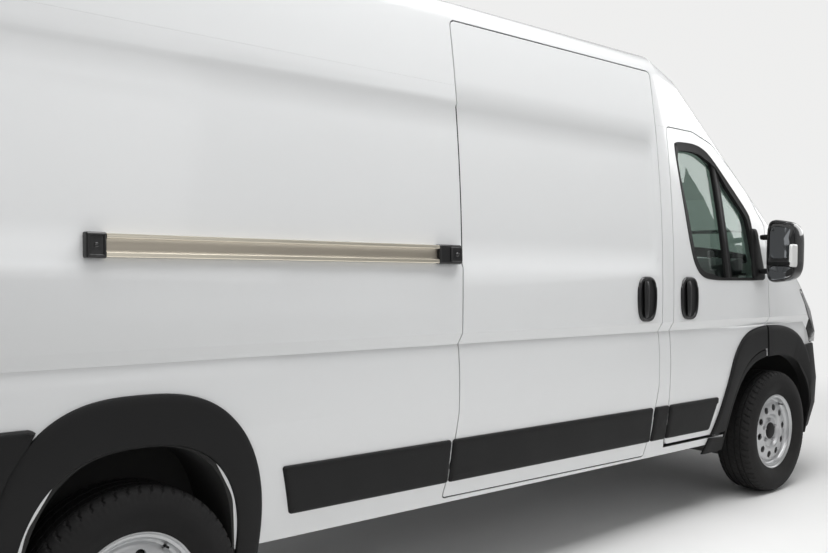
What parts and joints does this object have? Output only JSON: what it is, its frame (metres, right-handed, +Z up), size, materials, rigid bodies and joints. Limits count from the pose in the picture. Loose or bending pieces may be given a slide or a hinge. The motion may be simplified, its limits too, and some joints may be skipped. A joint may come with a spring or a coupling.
{
  "type": "high-roof panel van",
  "caption": "Long high-roof panel van with a sliding side door, twin rear doors, hinged cab doors and bonnet, steered front wheels and a hollow cab and load space.",
  "frame": {"origin": "on the ground at the middle of the van's overall footprint", "axes": "+X forward, +Y to the left, +Z up; the van stands on level ground"},
  "size_m": [6.0022, 2.503, 2.597],
  "materials": {
    "white_paint": "gloss",
    "black_plastic": "grained",
    "green_glass": "tinted",
    "clear_lamp": "clear",
    "red_lamp": "gloss",
    "rail_aluminium": "satin",
    "tyre_rubber": "matte",
    "wheel_silver": "satin",
    "body_primer": "satin",
    "chassis_black": "satin",
    "cast_iron": "rough",
    "exhaust_steel": "dull",
    "grey_plastic": "grained",
    "seat_cloth": "woven"
  },
  "bodies": {
    "body": {"arch_liners": "black_plastic", "arch_trims": "black_plastic", "bulkhead": "body_primer", "cab_floor": "body_primer", "cab_frame": "white_paint", "cowl": "black_plastic", "dashboard": "grey_plastic", "driver_seat": "seat_cloth", "engine": "cast_iron", "exhaust": "exhaust_steel", "front_bumper": "black_plastic", "front_subframe": "chassis_black", "fuel_tank": "chassis_black", "grille": "black_plastic", "headlamps": "clear_lamp", "passenger_seat": "seat_cloth", "rear_axle": "chassis_black", "rear_bumper": "black_plastic", "roof": "white_paint", "seat_bases": "chassis_black", "side_left": "white_paint", "side_right": "white_paint", "side_trims": "black_plastic", "slide_rail": "rail_aluminium", "sliding_door": "white_paint", "spare_wheel": "tyre_rubber", "tail_lamps": "red_lamp", "underbody": "body_primer", "windscreen": "green_glass", "wings": "white_paint"},
    "front_left_door": {"door_left": "white_paint", "door_glass_left": "green_glass", "door_trim_left": "black_plastic"},
    "front_right_door": {"door_right": "white_paint", "door_glass_right": "green_glass", "door_trim_right": "black_plastic"},
    "bonnet": {"bonnet": "white_paint"},
    "rear_left_door": {"rear_door_left": "white_paint"},
    "rear_right_door": {"rear_door_right": "white_paint"},
    "left_knuckle": {"knuckle_left": "cast_iron"},
    "right_knuckle": {"knuckle_right": "cast_iron"},
    "steering_wheel": {"steering_wheel": "grey_plastic"},
    "front_left_wheel": {"tyre_front_left": "tyre_rubber", "rim_front_left": "wheel_silver"},
    "front_right_wheel": {"tyre_front_right": "tyre_rubber", "rim_front_right": "wheel_silver"},
    "rear_left_wheel": {"tyre_rear_left": "tyre_rubber", "rim_rear_left": "wheel_silver"},
    "rear_right_wheel": {"tyre_rear_right": "tyre_rubber", "rim_rear_right": "wheel_silver"}
  },
  "joints": [
    {"name": "left_door_swing", "type": "hinge", "parent": "body", "child": "front_left_door", "pos_m": [1.91219, 0.985, 1.00543], "axis": [-0.0241, 0, -0.9997], "range_deg": [0, 68]},
    {"name": "right_door_swing", "type": "hinge", "parent": "body", "child": "front_right_door", "pos_m": [1.91219, -0.985, 1.00543], "axis": [0.0241, 0, 0.9997], "range_deg": [0, 68]},
    {"name": "bonnet_lift", "type": "hinge", "parent": "body", "child": "bonnet", "pos_m": [2.45155, 0, 1.38755], "axis": [0, -1, 0], "range_deg": [0, 50]},
    {"name": "rear_left_swing", "type": "hinge", "parent": "body", "child": "rear_left_door", "pos_m": [-2.95476, 0.863, 1.52279], "axis": [-0.0241, 0, -0.9997], "range_deg": [0, 180]},
    {"name": "rear_right_swing", "type": "hinge", "parent": "body", "child": "rear_right_door", "pos_m": [-2.95476, -0.863, 1.52279], "axis": [0.0241, 0, 0.9997], "range_deg": [0, 180]},
    {"name": "steer_left", "type": "hinge", "parent": "body", "child": "left_knuckle", "pos_m": [2.043, 0.8, 0.20704], "axis": [0.0235, -0.225, 0.9741], "range_deg": [-35, 35]},
    {"name": "steer_right", "type": "hinge", "parent": "body", "child": "right_knuckle", "pos_m": [2.043, -0.8, 0.20704], "axis": [0.0235, 0.225, 0.9741], "range_deg": [-35, 35]},
    {"name": "steering_wheel_turn", "type": "hinge", "parent": "body", "child": "steering_wheel", "pos_m": [1.45883, 0.46, 1.28643], "axis": [-0.6242, 0, 0.7813], "range_deg": [-540, 540]},
    {"name": "front_left_spin", "type": "hinge", "parent": "left_knuckle", "child": "front_left_wheel", "pos_m": [2.04668, 0.905, 0.36], "axis": [0, 1, 0], "continuous": true},
    {"name": "rear_left_spin", "type": "hinge", "parent": "body", "child": "rear_left_wheel", "pos_m": [-1.98949, 0.895, 0.36], "axis": [0, 1, 0], "continuous": true},
    {"name": "front_right_spin", "type": "hinge", "parent": "right_knuckle", "child": "front_right_wheel", "pos_m": [2.04668, -0.905, 0.36], "axis": [0, 1, 0], "continuous": true},
    {"name": "rear_right_spin", "type": "hinge", "parent": "body", "child": "rear_right_wheel", "pos_m": [-1.98949, -0.895, 0.36], "axis": [0, 1, 0], "continuous": true}
  ],
  "couplings": [
    {"joint": "steer_right", "follows": "steer_left", "ratio": 1},
    {"joint": "steering_wheel_turn", "follows": "steer_left", "ratio": 15}
  ]
}
